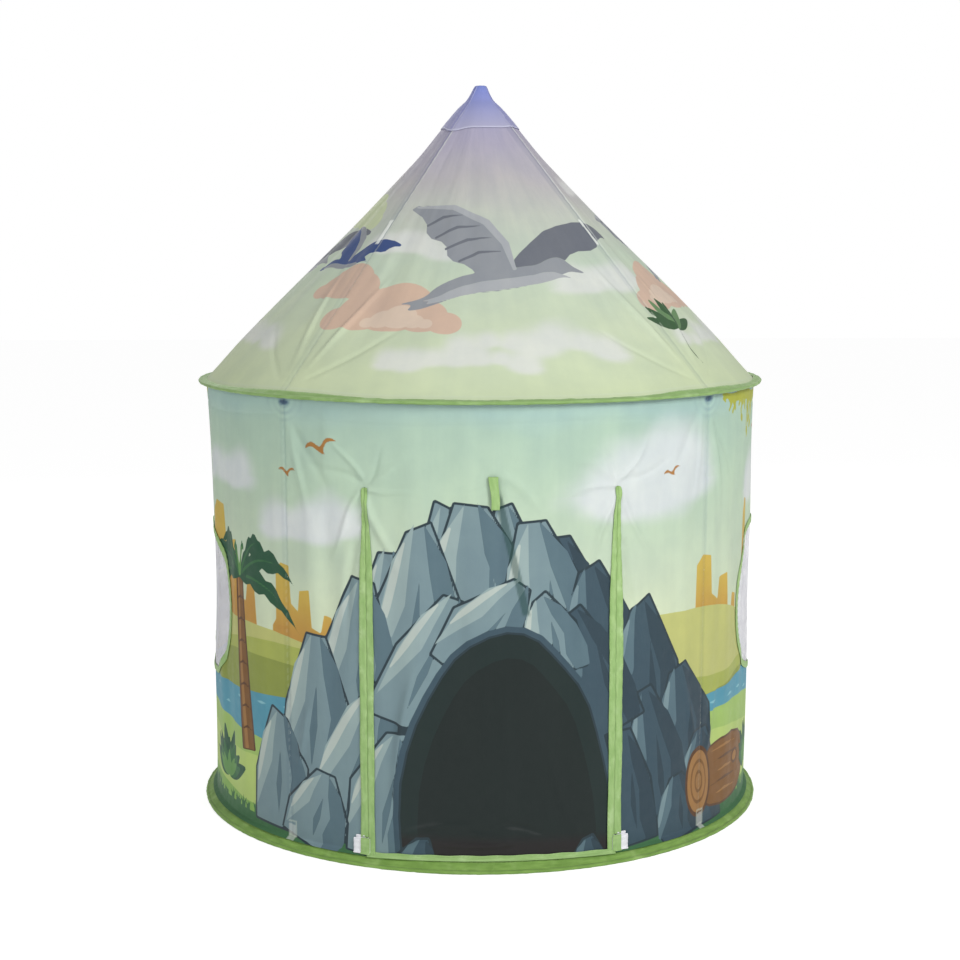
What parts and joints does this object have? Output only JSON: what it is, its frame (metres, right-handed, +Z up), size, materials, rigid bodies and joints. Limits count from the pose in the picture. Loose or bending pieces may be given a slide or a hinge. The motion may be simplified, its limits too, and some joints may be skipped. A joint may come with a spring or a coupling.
{
  "type": "kids play tent",
  "caption": "Round pop-up play tent: printed cloth wall between sprung hoops, pointed pole-held roof, lift-up door flap and round net windows.",
  "frame": {"origin": "on the ground under the middle of the round tent, level with the lower hoop's flat underside", "axes": "+Z up through the peak, -Y out through the middle of the door, +X to the right as one faces the door"},
  "size_m": [1.051, 1.051, 1.3225],
  "materials": {
    "printed_cloth": "thin printed polyester taffeta, soft sheen",
    "roof_cloth": "thin printed polyester taffeta, soft sheen",
    "cap_cloth": "thin printed polyester taffeta, soft sheen",
    "green_tape": "woven polyester binding tape, matt",
    "inner_cloth": "plain polyester taffeta, matt",
    "white_tape": "white hook-and-loop tape, matt pile",
    "white_net": "fine white polyester net, see-through",
    "white_plastic": "moulded white plastic, satin",
    "grey_pole": "grey glass-fibre rod, satin",
    "spring_steel": "plain spring-steel wire"
  },
  "bodies": {
    "tent": {"front_wall": "printed_cloth", "right_wall": "printed_cloth", "back_wall": "printed_cloth", "left_wall": "printed_cloth", "front_roof": "roof_cloth", "right_roof": "roof_cloth", "back_roof": "roof_cloth", "left_roof": "roof_cloth", "apex_cap": "cap_cloth", "upper_hoop_sleeve": "green_tape", "lower_hoop_sleeve": "green_tape", "left_slit_binding": "green_tape", "right_slit_binding": "green_tape", "left_window_binding": "green_tape", "right_window_binding": "green_tape", "left_patch": "white_tape", "right_patch": "white_tape", "left_window_net": "white_net", "right_window_net": "white_net", "upper_hoop_wire": "spring_steel", "lower_hoop_wire": "spring_steel", "apex_hub": "white_plastic", "wall_pole_front_left": "grey_pole", "roof_pole_lower_front_left": "grey_pole", "roof_pole_upper_front_left": "grey_pole", "pole_ferrule_front_left": "white_plastic", "pole_elbow_front_left": "white_plastic", "foot_pocket_front_left": "inner_cloth", "wall_sleeve_front_left": "inner_cloth", "roof_sleeve_front_left": "inner_cloth", "wall_pole_front_right": "grey_pole", "roof_pole_lower_front_right": "grey_pole", "roof_pole_upper_front_right": "grey_pole", "pole_ferrule_front_right": "white_plastic", "pole_elbow_front_right": "white_plastic", "foot_pocket_front_right": "inner_cloth", "wall_sleeve_front_right": "inner_cloth", "roof_sleeve_front_right": "inner_cloth", "wall_pole_back_right": "grey_pole", "roof_pole_lower_back_right": "grey_pole", "roof_pole_upper_back_right": "grey_pole", "pole_ferrule_back_right": "white_plastic", "pole_elbow_back_right": "white_plastic", "foot_pocket_back_right": "inner_cloth", "wall_sleeve_back_right": "inner_cloth", "roof_sleeve_back_right": "inner_cloth", "wall_pole_back_left": "grey_pole", "roof_pole_lower_back_left": "grey_pole", "roof_pole_upper_back_left": "grey_pole", "pole_ferrule_back_left": "white_plastic", "pole_elbow_back_left": "white_plastic", "foot_pocket_back_left": "inner_cloth", "wall_sleeve_back_left": "inner_cloth", "roof_sleeve_back_left": "inner_cloth"},
    "door": {"door_flap": "printed_cloth", "door_binding": "green_tape"},
    "left_tab": {"left_tab": "white_tape"},
    "right_tab": {"right_tab": "white_tape"},
    "outer_strap": {"outer_strap": "green_tape"},
    "inner_tie": {"inner_tie": "green_tape"}
  },
  "joints": [
    {"name": "door_hinge", "type": "hinge", "parent": "tent", "child": "door", "pos_m": [0, -0.5055, 0.642], "axis": [-1, 0, 0], "range_deg": [0, 120]},
    {"name": "left_tab_peel", "type": "hinge", "parent": "door", "child": "left_tab", "pos_m": [-0.2051, -0.46466, 0.0185], "axis": [0, 0, 1], "range_deg": [0, 150]},
    {"name": "right_tab_peel", "type": "hinge", "parent": "door", "child": "right_tab", "pos_m": [0.20509, -0.46466, 0.0185], "axis": [0, 0, -1], "range_deg": [0, 150]},
    {"name": "outer_strap_swing", "type": "hinge", "parent": "tent", "child": "outer_strap", "pos_m": [0, -0.50826, 0.664], "axis": [-1, 0, 0], "range_deg": [0, 120]},
    {"name": "inner_tie_swing", "type": "hinge", "parent": "tent", "child": "inner_tie", "pos_m": [0, -0.50476, 0.664], "axis": [1, 0, 0], "range_deg": [0, 90]}
  ],
  "couplings": [
    {"joint": "outer_strap_swing", "follows": "door_hinge", "ratio": 1}
  ]
}
